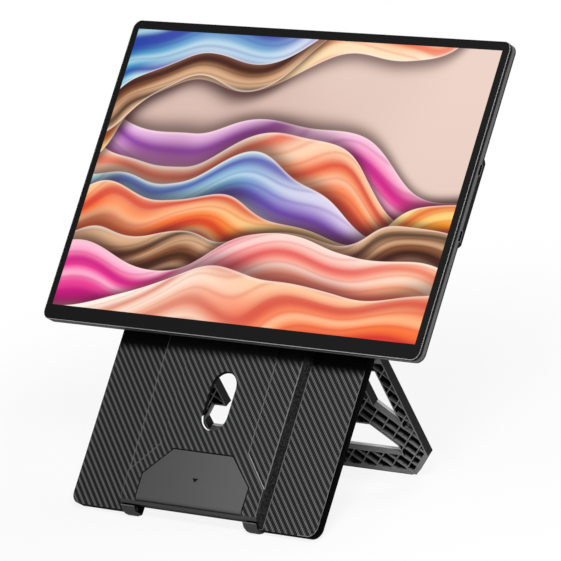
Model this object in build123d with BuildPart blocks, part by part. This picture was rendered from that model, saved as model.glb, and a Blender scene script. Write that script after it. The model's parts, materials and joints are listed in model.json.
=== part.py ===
from build123d import *
import os
from math import atan2, cos, radians, sin, sqrt, tan

os.makedirs("parts", exist_ok=True)

# A thin portable display screwed to the raised back channel of a folding desk stand.
# The stand is a leaning plate with a truss leg that folds out behind it and a small
# ledge that folds out of its foot. All sizes are in millimetres.
# Sizes are given across (x), up the leaning plate, and outwards from the plate's back.

# Display outline
active_width = 344.6
active_height = 215.4
side_bezel = 6.45
top_bezel = 6.8
bottom_bezel = 11.3
display_depth = 7.6
display_corner = 6.8

# Display housing
frame_height = 1.5
frame_rim = 0.9
frame_bevel = 0.45
frame_groove = 0.3
skirt_wall = 1.0
skirt_gap = 0.15
cover_wall = 1.6
cover_bevel = 0.6
glass_height = 0.8
glass_gap = 0.1

# Layers behind the glass
cell_height = 1.3
cell_margin = 2.0
diffuser_height = 0.6
guide_height = 1.8
reflector_height = 0.3
tray_sheet = 0.4
layer_gap = 0.05
led_width = 1.6

# Electronics hump on the display's back
hump_width = 250.0
hump_length = 125.0
hump_depth = 7.0
hump_wall = 1.8
hump_corner = 14.0
hump_slope = 30.0
hump_start = 14.7

# Thickened rails that carry the sockets and the keys
rail_length = 60.0
rail_width = 12.0
rail_step = 2.0
rail_bevel = 2.4
rail_wall = 1.0
rail_raise = 116.9
port_spacing = 48.5

# Screw pattern between display and stand
pattern = 75.0
pattern_raise = 78.0
insert_radius = 3.2
insert_length = 6.0
mount_screw_radius = 2.0
mount_head_radius = 4.0
mount_head_height = 2.6
mount_screw_length = 14.5
fit = 0.05
clear = 0.25

# Stand plate, two layers
plate_width = 233.2
plate_height = 262.0
plate_skin = 3.2
back_skin = 3.2
plate_corner = 8.0
display_raise = 127.0
notch_height = 5.3

# Raised channel on the plate
channel_width = 129.0
channel_base = 135.6
channel_rise = 7.1
channel_wall = 2.2
channel_start = 6.6
channel_length = 252.0
channel_run = 6.0
channel_lip = 2.2
strip_step = 0.9
strip_width = 23.7
strip_foot = 27.5
mount_gap = 0.3
oval_width = 22.5
oval_height = 43.0
oval_raise = 85.5
oval_bevel = 0.6
window_width = 92.0
window_height = 62.0

# Fold-out ledge
ledge_width = 101.0
ledge_height = 40.7
ledge_side = 20.2
ledge_top = 56.4
ledge_thick = 2.4
ledge_gap = 0.6
ledge_side_gap = 0.4
ledge_barrel = 3.4
ledge_rod_radius = 1.5
ledge_floor = 1.2
mark_width = 5.5
mark_height = 2.4
mark_raise = 26.9
mark_depth = 0.3

# Rubber shoes under the plate
shoe_drop = 2.2
shoe_top = 3.0
shoe_front = 4.5
shoe_side = 1.1
shoe_corner = 2.0
table_gap = 0.6

# Truss leg
open_angle = 60.2
hinge_raise = 138.7
leg_length = 112.9
leg_thick = 6.5
leg_gap = 0.4
leg_corner = 20.0
leg_side_bar = 11.2
leg_foot_bar = 18.7
leg_rail = 16.0
leg_brace = 23.0
leg_window = 17.6
leg_window_sill = 46.3
leg_web_sill = 44.3
leg_reach = 92.5
leg_middle = 124.0
rib_pitch = 9.83
rib_start = 3.5
rib_wall = 0.8
leg_rim = 1.2
leg_flange = 3.0
pad_inset = 4.0
cell_floor = 1.5
smallest_cell = 4.0

# Leg hinges
hinge_spacing = 156.0
lug_spacing = 26.0
lug_wall = 4.0
lug_gap = 0.4
lug_radius = 3.35
notch_reach = 4.2
pin_radius = 1.5
pin_length = 33.0
running = 0.06
bracket_width = 34.0
bracket_start = 7.3
bracket_height = 14.0
bracket_sheet = 2.6
bracket_hole_spacing = 14.0

# Small screws and drilled holes
screw_radius = 1.45
screw_head_radius = 2.7
screw_head_height = 1.3
screw_sides = 12
head_sides = 16
bore_sides = 12
cover_screw_inset = 8.5
cover_screw_raise = 60.0

# Levels, outwards from the plate's back
plate_face = back_skin + plate_skin
channel_face = plate_face + channel_rise
hump_face = channel_face + mount_gap
display_back = hump_face + hump_depth
screen_face = display_back + display_depth

# Places up the plate
display_width = active_width + 2 * side_bezel
display_height = active_height + top_bezel + bottom_bezel
display_top = display_raise + display_height
display_mid = display_raise + display_height / 2
active_mid = display_raise + bottom_bezel + active_height / 2
rail_mid = display_raise + rail_raise
pattern_mid = display_raise + pattern_raise
hump_mid = display_raise + hump_start + hump_length / 2
channel_top = channel_start + channel_length
hinge_level = -leg_gap - leg_thick / 2
ledge_axis_raise = channel_start + ledge_barrel
ledge_axis_level = channel_face - ledge_barrel
shoe_inner = ledge_width / 2 + shoe_side
shoe_outer = channel_width / 2

# The lean follows from the plate's back edge and the leg's front edge standing on one table
leg_half = leg_thick / 2
foot_raise = hinge_raise - leg_length * cos(radians(open_angle)) - leg_half * sin(radians(open_angle))
foot_level = hinge_level - leg_length * sin(radians(open_angle)) + leg_half * cos(radians(open_angle))
lean = atan2(foot_raise, -foot_level)
upward = Vector(0, sin(lean), cos(lean))
outward = Vector(0, -cos(lean), sin(lean))


def run_back(raise_, level):
    """How far back a point of the side view lies, from the plate's bottom edge"""
    return raise_ * sin(lean) - level * cos(lean)


front_most = run_back(channel_start, channel_face)
rear_most = run_back(display_top - cover_bevel, display_back)
corner_place = Vector(0, -(front_most + rear_most) / 2, table_gap)


def place(x, raise_, level):
    """Point at x across, raise_ up the plate and level out from its back"""
    return corner_place + Vector(x, 0, 0) + upward * raise_ + outward * level


def deck(level):
    """Plane parallel to the plate: x across, y up the plate, z outwards"""
    return Plane(origin=place(0, 0, level), x_dir=(1, 0, 0), z_dir=outward)


def rung(raise_):
    """Plane across the plate: x across, y outwards, z down the plate"""
    return Plane(origin=place(0, raise_, 0), x_dir=(1, 0, 0), z_dir=-upward)


def side(x):
    """Side view plane: x up the plate, y outwards, z across"""
    return Plane(origin=place(x, 0, 0), x_dir=upward, z_dir=(1, 0, 0))


out_axis = Axis(place(0, 0, 0), outward)


def mirrored(x):
    return (-x, x)


def bore(radius, mode=Mode.ADD):
    """Add a drilled hole, many-sided and clear of a round of that radius, to the open sketch"""
    RegularPolygon(radius, bore_sides, major_radius=False, mode=mode)


def finish(part, name):
    """Label a finished piece and write it"""
    part.label = name
    export_step(part, "parts/" + name + ".step")


def display_outline(inset):
    """Add the display's rounded outline, drawn in by inset, to the open sketch"""
    with Locations((0, display_mid)):
        RectangleRounded(display_width - 2 * inset, display_height - 2 * inset, display_corner - inset)


# Display: front frame
# A shallow ring with a polished bevel round the glass and a skirt that slips into the rear cover.
frame_back = screen_face - frame_height
cover_top = frame_back - frame_groove
glass_back = screen_face - glass_gap / 2 - glass_height
cell_width = active_width + cell_margin
cell_length = active_height + cell_margin
skirt_outer = cover_wall + skirt_gap
skirt_inner = skirt_outer + skirt_wall
tray_clear = 0.6
rail_open = rail_length + 2 * rail_bevel

with BuildPart() as front_frame:
    with BuildSketch(deck(frame_back)):
        display_outline(0)
    extrude(amount=frame_height)
    chamfer(front_frame.faces().sort_by(out_axis)[-1].edges(), frame_bevel)
    with BuildSketch(deck(glass_back)):
        display_outline(frame_rim)
    extrude(amount=frame_height, mode=Mode.SUBTRACT)
    with BuildSketch(deck(cover_top - skirt_wall)):
        display_outline(skirt_outer)
    extrude(amount=skirt_wall + frame_groove)
    with BuildSketch(deck(cover_top - skirt_wall)):
        display_outline(skirt_inner)
    extrude(amount=skirt_wall + frame_groove, mode=Mode.SUBTRACT)
    with BuildSketch(deck(cover_top)):
        with Locations((0, active_mid)):
            Rectangle(cell_width + 2 * tray_clear, cell_length + 2 * tray_clear)
    extrude(amount=frame_height, mode=Mode.SUBTRACT)
    # gaps in the skirt for the sockets and keys
    with BuildSketch(deck(cover_top - skirt_wall)):
        with Locations(*[(x, rail_mid) for x in mirrored(display_width / 2)]):
            Rectangle(2 * rail_width, rail_open)
    extrude(amount=skirt_wall, mode=Mode.SUBTRACT)
finish(front_frame.part, "front_frame")

# Display: cover glass
with BuildPart() as cover_glass:
    with BuildSketch(deck(glass_back)):
        display_outline(frame_rim + glass_gap)
    extrude(amount=glass_height)
finish(cover_glass.part, "cover_glass")

# Display: liquid crystal cell bonded behind the glass
cell_back = glass_back - layer_gap - cell_height
with BuildPart() as lcd_cell:
    with BuildSketch(deck(cell_back)):
        with Locations((0, active_mid)):
            Rectangle(cell_width, cell_length)
    extrude(amount=cell_height)
finish(lcd_cell.part, "lcd_cell")

# Display: light diffusing film
film_width = cell_width - 2 * tray_sheet
film_length = cell_length - 2 * tray_sheet
diffuser_back = cell_back - layer_gap - diffuser_height
with BuildPart() as diffuser_film:
    with BuildSketch(deck(diffuser_back)):
        with Locations((0, active_mid)):
            Rectangle(film_width, film_length)
    extrude(amount=diffuser_height)
finish(diffuser_film.part, "diffuser_film")

# Display: acrylic light guide, with its lamp strip along the bottom edge
guide_back = diffuser_back - layer_gap - guide_height
guide_cut = led_width + 2 * layer_gap
with BuildPart() as light_guide:
    with BuildSketch(deck(guide_back)):
        with Locations((0, active_mid + guide_cut / 2)):
            Rectangle(film_width, film_length - guide_cut)
    extrude(amount=guide_height)
finish(light_guide.part, "light_guide")

with BuildPart() as led_strip:
    with BuildSketch(deck(guide_back)):
        with Locations((0, active_mid - film_length / 2)):
            Rectangle(film_width - 2 * led_width, led_width, align=(Align.CENTER, Align.MIN))
    extrude(amount=guide_height)
finish(led_strip.part, "led_strip")

# Display: white reflector sheet
reflector_back = guide_back - layer_gap - reflector_height
with BuildPart() as reflector_sheet:
    with BuildSketch(deck(reflector_back)):
        with Locations((0, active_mid)):
            Rectangle(film_width, film_length)
    extrude(amount=reflector_height)
finish(reflector_sheet.part, "reflector_sheet")

# Display: folded metal tray that holds the stack
tray_back = reflector_back - layer_gap - tray_sheet
with BuildPart() as panel_tray:
    with BuildSketch(deck(tray_back)):
        with Locations((0, active_mid)):
            Rectangle(cell_width, cell_length)
    extrude(amount=cell_back - tray_back)
    with BuildSketch(deck(tray_back + tray_sheet)):
        with Locations((0, active_mid)):
            Rectangle(film_width + layer_gap, film_length + layer_gap)
    extrude(amount=display_depth, mode=Mode.SUBTRACT)
finish(panel_tray.part, "panel_tray")

# Display: rear cover
# A moulded tray with a sloped hump for the electronics, two thickened rails, a socket row on
# the right rail and a key row on the left rail.
cover_floor = tray_back - layer_gap
slope_run = hump_depth * tan(radians(hump_slope))
inner_depth = cover_floor - hump_face - hump_wall
board_post = 2.0
board_level = hump_face + hump_wall + board_post
board_sheet = 1.2
board_width = 64.0
board_length = 74.0
board_across = 80.0
board_raise = 79.7
board_hole_inset = 4.0
post_radius = 2.6
board_screw_radius = 1.0
board_head_radius = 1.8
board_mid = display_raise + board_raise
board_hole_across = board_width / 2 - board_hole_inset
board_hole_up = board_length / 2 - board_hole_inset
board_corners = [
    (board_across + x, board_mid + y) for x in mirrored(board_hole_across) for y in mirrored(board_hole_up)
]
board_screw_places = [
    (board_across + way * board_hole_across, board_mid - way * board_hole_up) for way in (-1, 1)
]
pattern_places = [(x, pattern_mid + y) for x in mirrored(pattern / 2) for y in mirrored(pattern / 2)]
boss_wall = 2.3


# Sockets, keys and their small boards on the two rails
port_width = 8.9
port_height = 3.2
port_depth = 5.0
port_shell = 0.3
port_tongue = 0.7
socket_clear = 0.15
socket_sink = 0.1
video_width = 10.6
video_height = 2.9
video_raise = 10.5
jack_radius = 1.8
jack_body = 4.6
jack_raise = 23.5
key_height = 2.6
key_clear = 0.2
key_sink = 0.25
key_flange = 0.5
key_flange_sheet = 0.6
key_room = 0.45
power_length = 8.0
power_raise = -22.5
rocker_length = 14.0
rocker_raise = -8.0
switch_body = 1.5
switch_gap = 0.5
switch_width = 3.4
scoop_depth = 1.0
scoop_margin = 1.6
small_board = 0.8
small_board_gap = 0.1
key_board_inset = 3.75
data_board_inset = 1.8

rail_back = display_back - rail_step
rail_floor = rail_back + rail_wall
rail_middle_level = (rail_back + cover_top) / 2
small_board_level = rail_floor + small_board_gap
small_board_top = small_board_level + small_board
port_level = small_board_top + layer_gap + port_height / 2
video_level = small_board_top + layer_gap + video_height / 2
jack_level = rail_floor + small_board_gap + jack_body / 2
port_places = [rail_mid + port_spacing / 2, rail_mid - port_spacing / 2]
video_mid = rail_mid + video_raise
jack_mid = rail_mid + jack_raise
power_mid = rail_mid + power_raise
rocker_mid = rail_mid + rocker_raise
scoop_low = power_mid - power_length / 2 - scoop_margin
scoop_high = rocker_mid + rocker_length / 2 + scoop_margin
scoop_mid = (scoop_low + scoop_high) / 2
rail_inner = display_width / 2 - rail_width + rail_wall
wall_inner = display_width / 2 - cover_wall
pocket_width = wall_inner - rail_inner
pocket_mid = (wall_inner + rail_inner) / 2

# Ribbon grooves, speakers and vents
ribbon_width = 10.0
ribbon_sheet = 0.3
groove_depth = 0.8
groove_clear = 1.0
ribbon_drop = 15.0
ribbon_level = cover_floor - groove_depth / 2
ribbon_mid = rail_mid - ribbon_drop
panel_ribbon_across = 53.5
driver_width = 200.0
driver_length = 4.6
driver_sheet = 0.8
driver_mid = display_raise + skirt_inner + clear + driver_length / 2
speaker_width = 56.0
speaker_length = 15.0
speaker_height = 5.5
speaker_across = 88.0
speaker_inset = 16.0
vent_inset = 14.0
speaker_mid = hump_mid - hump_length / 2 + speaker_inset
vent_mid = hump_mid + hump_length / 2 - vent_inset
slot_width = 1.4
slot_length = 9.0
slot_pitch = 4.2
speaker_slots = 7
vent_slots = 15

with BuildPart() as rear_cover:
    with BuildSketch(deck(display_back)):
        display_outline(0)
    extrude(amount=cover_top - display_back)
    chamfer(rear_cover.faces().sort_by(out_axis)[0].edges(), cover_bevel)
    # electronics hump
    with BuildSketch(deck(hump_face)):
        with Locations((0, hump_mid)):
            RectangleRounded(
                hump_width - 2 * slope_run,
                hump_length - 2 * slope_run,
                hump_corner - slope_run,
            )
    extrude(amount=hump_depth, taper=-hump_slope)
    # thickened rails
    for x, run in ((display_width / 2, -rail_width), (-display_width / 2, rail_width)):
        with BuildSketch(side(x)):
            with BuildLine():
                Polyline(
                    (rail_mid - rail_length / 2 - rail_bevel, display_back),
                    (rail_mid - rail_length / 2, rail_back),
                    (rail_mid + rail_length / 2, rail_back),
                    (rail_mid + rail_length / 2 + rail_bevel, display_back),
                    (rail_mid + rail_length / 2 + rail_bevel, cover_top),
                    (rail_mid - rail_length / 2 - rail_bevel, cover_top),
                    close=True,
                )
            make_face()
        extrude(amount=run)
    # hollow inside
    with BuildSketch(deck(cover_floor)):
        display_outline(cover_wall)
    extrude(amount=display_depth, mode=Mode.SUBTRACT)
    with BuildSketch(deck(hump_face + hump_wall)):
        with Locations((0, hump_mid)):
            RectangleRounded(
                hump_width - 2 * slope_run - 2 * hump_wall,
                hump_length - 2 * slope_run - 2 * hump_wall,
                hump_corner - slope_run - hump_wall,
            )
    extrude(amount=inner_depth, taper=-hump_slope, mode=Mode.SUBTRACT)
    with BuildSketch(deck(rail_floor)):
        with Locations(*[(x, rail_mid) for x in mirrored(pocket_mid)]):
            Rectangle(pocket_width, rail_length - 2 * rail_wall)
    extrude(amount=cover_floor - rail_floor, mode=Mode.SUBTRACT)
    # grooves for the ribbons in the floor
    with BuildSketch(deck(cover_floor - groove_depth)):
        with Locations(*[(x, ribbon_mid) for x in mirrored((rail_inner + hump_width / 2) / 2)]):
            Rectangle(rail_inner - hump_width / 2 + 4 * hump_wall, ribbon_width + 2 * groove_clear)
        with Locations((panel_ribbon_across, display_raise + skirt_inner)):
            Rectangle(
                ribbon_width + 2 * groove_clear,
                hump_mid - hump_length / 2 - display_raise + 2 * hump_wall - skirt_inner,
                align=(Align.CENTER, Align.MIN),
            )
    extrude(amount=groove_depth, mode=Mode.SUBTRACT)
    # bosses for the screw inserts and posts for the main board
    with BuildSketch(deck(hump_face)):
        with Locations(*pattern_places):
            Rectangle(2 * (insert_radius + boss_wall), 2 * (insert_radius + boss_wall))
    extrude(amount=insert_length + hump_wall)
    with BuildSketch(deck(hump_face + hump_wall)):
        with Locations(*board_corners):
            RegularPolygon(post_radius, screw_sides)
    extrude(amount=board_post)
    with BuildSketch(deck(hump_face)):
        with Locations(*pattern_places):
            RegularPolygon(insert_radius + fit, screw_sides)
    extrude(amount=insert_length + fit, mode=Mode.SUBTRACT)
    with BuildSketch(deck(hump_face + hump_wall)):
        with Locations(*board_screw_places):
            bore(board_screw_radius + fit)
    extrude(amount=board_post, mode=Mode.SUBTRACT)
    # sound slots and air slots through the hump
    with BuildSketch(deck(hump_face)):
        for x in mirrored(speaker_across):
            with Locations((x, speaker_mid)):
                with GridLocations(slot_pitch, slot_length, speaker_slots, 1):
                    Rectangle(slot_width, slot_length)
        with Locations((0, vent_mid)):
            with GridLocations(slot_pitch, slot_length, vent_slots, 1):
                Rectangle(slot_width, slot_length)
    extrude(amount=hump_wall, mode=Mode.SUBTRACT)
    # socket mouths on the right
    with BuildSketch(side(display_width / 2)):
        with Locations(*[(raise_, port_level) for raise_ in port_places]):
            SlotOverall(port_width + 2 * socket_clear, port_height + 2 * socket_clear)
    extrude(amount=-2 * cover_wall, mode=Mode.SUBTRACT)
    # socket mouths, the key scoop and the key slots on the left
    with BuildSketch(side(-display_width / 2)):
        with Locations((scoop_mid, rail_middle_level)):
            SlotOverall(scoop_high - scoop_low, key_height + 2 * scoop_margin)
    extrude(amount=scoop_depth, mode=Mode.SUBTRACT)
    with BuildSketch(side(-display_width / 2)):
        with Locations((video_mid, video_level)):
            Rectangle(video_width + 2 * socket_clear, video_height + 2 * socket_clear)
        with Locations((jack_mid, jack_level)):
            Circle(jack_body / 2 + socket_clear)
        with Locations((power_mid, rail_middle_level)):
            SlotOverall(power_length + 2 * key_clear, key_height + 2 * key_clear)
        with Locations((rocker_mid, rail_middle_level)):
            SlotOverall(rocker_length + 2 * key_clear, key_height + 2 * key_clear)
    extrude(amount=2 * cover_wall, mode=Mode.SUBTRACT)
finish(rear_cover.part, "rear_cover")

# Display: brass inserts that take the screws from the stand
with BuildPart() as mount_inserts:
    with BuildSketch(deck(hump_face + fit)):
        with Locations(*pattern_places):
            RegularPolygon(insert_radius, screw_sides)
            bore(mount_screw_radius + fit, mode=Mode.SUBTRACT)
    extrude(amount=insert_length - fit)
finish(mount_inserts.part, "mount_inserts")

# Display: main board with its chips, and the screws that hold it
chips = [(-14.0, 12.0, 14.0, 14.0, 1.6), (12.0, 16.0, 10.0, 10.0, 1.2), (10.0, -10.0, 18.0, 8.0, 2.4)]
with BuildPart() as main_board:
    with BuildSketch(deck(board_level)):
        with Locations((board_across, board_mid)):
            Rectangle(board_width, board_length)
        with Locations(*board_screw_places):
            bore(board_screw_radius + fit, mode=Mode.SUBTRACT)
    extrude(amount=board_sheet)
    for x, y, chip_width, chip_length, chip_height in chips:
        with BuildSketch(deck(board_level + board_sheet)):
            with Locations((board_across + x, board_mid + y)):
                Rectangle(chip_width, chip_length)
        extrude(amount=chip_height)
finish(main_board.part, "main_board")

with BuildPart() as board_screws:
    with BuildSketch(deck(board_level + board_sheet)):
        with Locations(*board_screw_places):
            RegularPolygon(board_head_radius, screw_sides)
    extrude(amount=board_screw_radius)
    with BuildSketch(deck(board_level + board_sheet)):
        with Locations(*board_screw_places):
            RegularPolygon(board_screw_radius, screw_sides)
    extrude(amount=-board_sheet - board_post)
finish(board_screws.part, "board_screws")

# Display: drive board of the liquid crystal cell, below the tray
with BuildPart() as driver_board:
    with BuildSketch(deck(cover_floor + layer_gap)):
        with Locations((0, driver_mid)):
            Rectangle(driver_width, driver_length)
    extrude(amount=driver_sheet)
finish(driver_board.part, "driver_board")

# Display: flat ribbons between the boards
board_top = board_level + board_sheet
with BuildPart() as panel_ribbon:
    with BuildSketch(side(panel_ribbon_across - ribbon_width / 2)) as panel_ribbon_profile:
        with BuildLine() as panel_ribbon_line:
            Polyline(
                (driver_mid - driver_length / 3, ribbon_level),
                (hump_mid - hump_length / 2 + 2 * hump_wall, ribbon_level),
                (speaker_mid + speaker_length / 2 + 3 * hump_wall, board_top + ribbon_sheet),
                (board_mid - board_length / 2 + board_sheet, board_top + ribbon_sheet),
            )
        trace(panel_ribbon_line.line, ribbon_sheet)
    extrude(amount=ribbon_width)
finish(panel_ribbon.part, "panel_ribbon")

board_right = board_across + board_width / 2
board_left = board_across - board_width / 2
hump_floor = hump_face + hump_wall + ribbon_sheet
data_route = [
    (board_right - 2 * board_sheet, board_top + ribbon_sheet),
    (board_right + board_sheet, board_top + ribbon_sheet),
    (hump_width / 2 - 2 * hump_wall, ribbon_level),
    (rail_inner + rail_wall, ribbon_level),
]
key_route = [
    (board_left + 2 * board_sheet, board_top + ribbon_sheet),
    (board_left - board_sheet, board_top + ribbon_sheet),
    (board_left - 4 * board_sheet, hump_floor),
    (-hump_width / 2 + hump_depth + slope_run, hump_floor),
    (-hump_width / 2 + 2 * hump_wall, ribbon_level),
    (-rail_inner - rail_wall, ribbon_level),
]
for route, name in ((data_route, "data_ribbon"), (key_route, "key_ribbon")):
    with BuildPart() as rail_ribbon:
        with BuildSketch(rung(ribbon_mid - ribbon_width / 2)):
            with BuildLine() as rail_ribbon_line:
                Polyline(*route)
            trace(rail_ribbon_line.line, ribbon_sheet)
        extrude(amount=-ribbon_width)
    finish(rail_ribbon.part, name)

# Display: speakers in the hump's lower corners
for way, name in ((1, "speaker_right"), (-1, "speaker_left")):
    with BuildPart() as speaker:
        with BuildSketch(deck(hump_face + hump_wall + layer_gap)):
            with Locations((way * speaker_across, speaker_mid)):
                Rectangle(speaker_width, speaker_length)
        extrude(amount=speaker_height)
        with BuildSketch(deck(hump_face + hump_wall + layer_gap)):
            with Locations((way * speaker_across, speaker_mid)):
                Rectangle(speaker_width - 8 * slot_width, speaker_length - 2 * slot_width)
        extrude(amount=slot_width, mode=Mode.SUBTRACT)
    finish(speaker.part, name)

# Display: two identical sockets on the right rail, each a drawn metal shell round a tongue
for raise_, name in zip(port_places, ("data_port_upper", "data_port_lower")):
    with BuildPart() as data_port:
        with BuildSketch(side(display_width / 2 - socket_sink)):
            with Locations((raise_, port_level)):
                SlotOverall(port_width, port_height)
        extrude(amount=-port_depth)
        with BuildSketch(side(display_width / 2 - socket_sink)):
            with Locations((raise_, port_level)):
                SlotOverall(port_width - 2 * port_shell, port_height - 2 * port_shell)
        extrude(amount=-port_depth + 2 * port_shell, mode=Mode.SUBTRACT)
        with BuildSketch(side(display_width / 2 - socket_sink - port_tongue)):
            with Locations((raise_, port_level)):
                Rectangle(port_width - port_height, port_tongue)
        extrude(amount=-port_depth + port_tongue + port_shell)
    finish(data_port.part, name)

# Display: video socket and headphone jack on the left rail
with BuildPart() as video_port:
    with BuildSketch(side(-display_width / 2 + socket_sink)):
        with Locations((video_mid, video_level)):
            Rectangle(video_width, video_height)
            Rectangle(video_width - 2 * port_shell, video_height - 2 * port_shell, mode=Mode.SUBTRACT)
    extrude(amount=port_depth)
    with BuildSketch(side(-display_width / 2 + socket_sink + port_tongue)):
        with Locations((video_mid, video_level)):
            Rectangle(video_width - video_height, port_tongue)
    extrude(amount=port_depth - port_tongue - port_shell)
    with BuildSketch(side(-display_width / 2 + socket_sink + port_depth)):
        with Locations((video_mid, video_level)):
            Rectangle(video_width, video_height)
    extrude(amount=-port_shell)
finish(video_port.part, "video_port")

with BuildPart() as audio_jack:
    with BuildSketch(side(-display_width / 2 + socket_sink)):
        with Locations((jack_mid, jack_level)):
            Circle(jack_body / 2)
            Circle(jack_radius, mode=Mode.SUBTRACT)
    extrude(amount=port_depth)
finish(audio_jack.part, "audio_jack")

# Display: narrow boards under the sockets and the keys
with BuildPart() as data_board:
    with BuildSketch(deck(small_board_level)):
        with Locations((display_width / 2 - data_board_inset, rail_mid)):
            Rectangle(
                display_width / 2 - data_board_inset - rail_inner - layer_gap,
                rail_length - 2 * rail_wall - 2 * clear,
                align=(Align.MAX, Align.CENTER),
            )
    extrude(amount=small_board)
finish(data_board.part, "data_board")

with BuildPart() as key_board:
    with BuildSketch(deck(small_board_level)):
        with Locations((-display_width / 2 + key_board_inset, rail_mid)):
            Rectangle(
                display_width / 2 - key_board_inset - rail_inner - layer_gap,
                rail_length - 2 * rail_wall - 2 * clear,
                align=(Align.MIN, Align.CENTER),
            )
        with Locations((-display_width / 2, jack_mid)):
            Rectangle(2 * (port_depth + socket_sink + clear), jack_body + 2 * clear, mode=Mode.SUBTRACT)
    extrude(amount=small_board)
finish(key_board.part, "key_board")

# Display: keys on the left rail, with the switches they press
key_face = -display_width / 2 + key_sink
flange_face = -wall_inner + key_room
flange_back = flange_face + key_flange_sheet
switch_back = -display_width / 2 + key_board_inset + switch_body
switch_face = flange_back + switch_gap
rocker_arm = rocker_length / 2 - switch_width / 2

for length, middle, name in (
    (power_length, power_mid, "power_key"),
    (rocker_length, rocker_mid, "volume_rocker"),
):
    with BuildPart() as key:
        with BuildSketch(side(key_face)):
            with Locations((middle, rail_middle_level)):
                SlotOverall(length, key_height)
        extrude(amount=flange_back - key_face)
        with BuildSketch(side(flange_face)):
            with Locations((middle, rail_middle_level)):
                Rectangle(length + 2 * key_flange, key_height + 2 * key_flange)
        extrude(amount=key_flange_sheet)
    finish(key.part, name)

with BuildPart() as key_switches:
    for middle in (power_mid, rocker_mid - rocker_arm, rocker_mid + rocker_arm):
        with BuildSketch(side(switch_back)):
            with Locations((middle, small_board_top)):
                Rectangle(switch_width, key_height - layer_gap, align=(Align.CENTER, Align.MIN))
        extrude(amount=-switch_body)
        with BuildSketch(side(switch_back - switch_body)):
            with Locations((middle, rail_middle_level)):
                Rectangle(switch_width / 2, switch_width / 2)
        extrude(amount=switch_face - switch_back + switch_body)
finish(key_switches.part, "key_switches")

# Stand: plate in two layers, with the cable window and the notch for the ledge
notch_width = 2 * (shoe_inner - clear)
cover_screw_places = [(x, cover_screw_raise) for x in mirrored(channel_width / 2 - cover_screw_inset)]
bracket_low = hinge_raise + bracket_start
bracket_mid = bracket_low + bracket_height / 2
bracket_screw_places = [
    (x + dx, bracket_mid)
    for x in mirrored(hinge_spacing / 2)
    for dx in mirrored(bracket_hole_spacing / 2)
]


def plate_sketch(level):
    """Outline of one plate layer with its window and notch"""
    with BuildSketch(deck(level)) as outline:
        with Locations((0, plate_height / 2)):
            RectangleRounded(plate_width, plate_height, plate_corner)
        with Locations((0, oval_raise)):
            Rectangle(window_width, window_height, mode=Mode.SUBTRACT)
        with Locations((0, 0)):
            Rectangle(notch_width, 2 * notch_height, mode=Mode.SUBTRACT)
    return outline.sketch


with BuildPart() as stand_plate:
    extrude(plate_sketch(back_skin), amount=plate_skin)
    with BuildSketch(deck(back_skin)):
        with Locations(*pattern_places):
            bore(mount_screw_radius + clear)
        with Locations(*cover_screw_places):
            bore(screw_radius + clear)
    extrude(amount=plate_skin, mode=Mode.SUBTRACT)
finish(stand_plate.part, "stand_plate")

with BuildPart() as stand_back:
    extrude(plate_sketch(0), amount=back_skin)
    with BuildSketch(deck(0)):
        with Locations(*pattern_places):
            bore(mount_head_radius + 2 * clear)
        with Locations(*cover_screw_places):
            bore(screw_head_radius + clear)
        with Locations(*bracket_screw_places):
            bore(screw_radius + fit)
    extrude(amount=back_skin, mode=Mode.SUBTRACT)
finish(stand_back.part, "stand_back")

# Stand: raised channel
# A moulded cover with sloped sides and a sloped foot, two stepped side strips, the oval cable
# hole and the recess where the ledge lies flush.
inner_rise = channel_rise - channel_wall
side_slope = (channel_base - channel_width) / 2 / channel_rise
ledge_top_raise = channel_start + ledge_height
recess_level = channel_face - ledge_thick - mount_gap
barrel_room = ledge_width / 2 + ledge_side_gap
block_outer = channel_width / 2 - clear
strip_edge = channel_width / 2 - strip_width


def ledge_points(grow):
    """Outline of the ledge, grown on all its sloped and straight sides"""
    half = ledge_width / 2 + grow
    shoulder = channel_start + ledge_side + grow * tan(radians(22.5))
    top = ledge_top_raise + grow
    top_half = ledge_top / 2 + grow * tan(radians(22.5))
    return [
        (-half, ledge_axis_raise),
        (-half, shoulder),
        (-top_half, top),
        (top_half, top),
        (half, shoulder),
        (half, ledge_axis_raise),
    ]


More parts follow.
